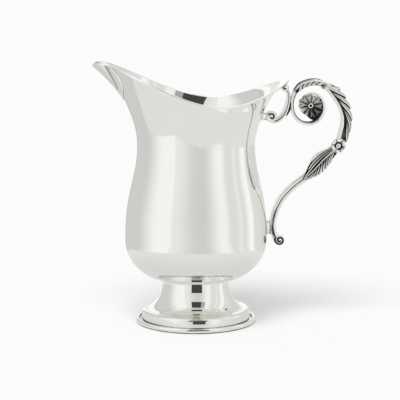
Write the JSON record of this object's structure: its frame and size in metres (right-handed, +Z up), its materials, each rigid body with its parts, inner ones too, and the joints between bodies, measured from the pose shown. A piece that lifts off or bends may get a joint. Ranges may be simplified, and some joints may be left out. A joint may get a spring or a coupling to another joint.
{
  "type": "oil jug",
  "caption": "Small silver oil jug: rounded body on a low round foot, flaring mouth with a pinched pouring lip, and a cast scroll handle with leaf, flower and rosette.",
  "frame": {"origin": "middle of the jug's outline seen from above, at the level the foot ring stands on", "axes": "+Z up, +X towards the handle, -X towards the pouring lip, +Y across the jug; the jug's round axis is parallel to Z at x = -11.76 mm"},
  "size_m": [0.1098, 0.0602, 0.11],
  "materials": {
    "polished_silver": "mirror polish",
    "oxidised_silver": "cast silver, polished on the high parts and dark in the recesses"
  },
  "bodies": {
    "root": {"body_bowl": "polished_silver", "body_neck": "polished_silver", "pouring_lip": "polished_silver", "foot_pedestal": "polished_silver", "foot_ring": "polished_silver", "stem_pad": "polished_silver", "neck_pad": "polished_silver", "bracket_scroll": "oxidised_silver", "volute_band": "oxidised_silver", "husk_bar": "oxidised_silver", "bar_collar": "oxidised_silver", "leaf_bar": "oxidised_silver", "upper_leaf": "oxidised_silver", "stem_bar": "oxidised_silver", "lower_leaf_front": "oxidised_silver", "lower_leaf_back": "oxidised_silver", "flower_front": "oxidised_silver", "flower_back": "oxidised_silver", "rosette_hub": "oxidised_silver", "rosette_front": "oxidised_silver", "rosette_back": "oxidised_silver"}
  },
  "joints": []
}
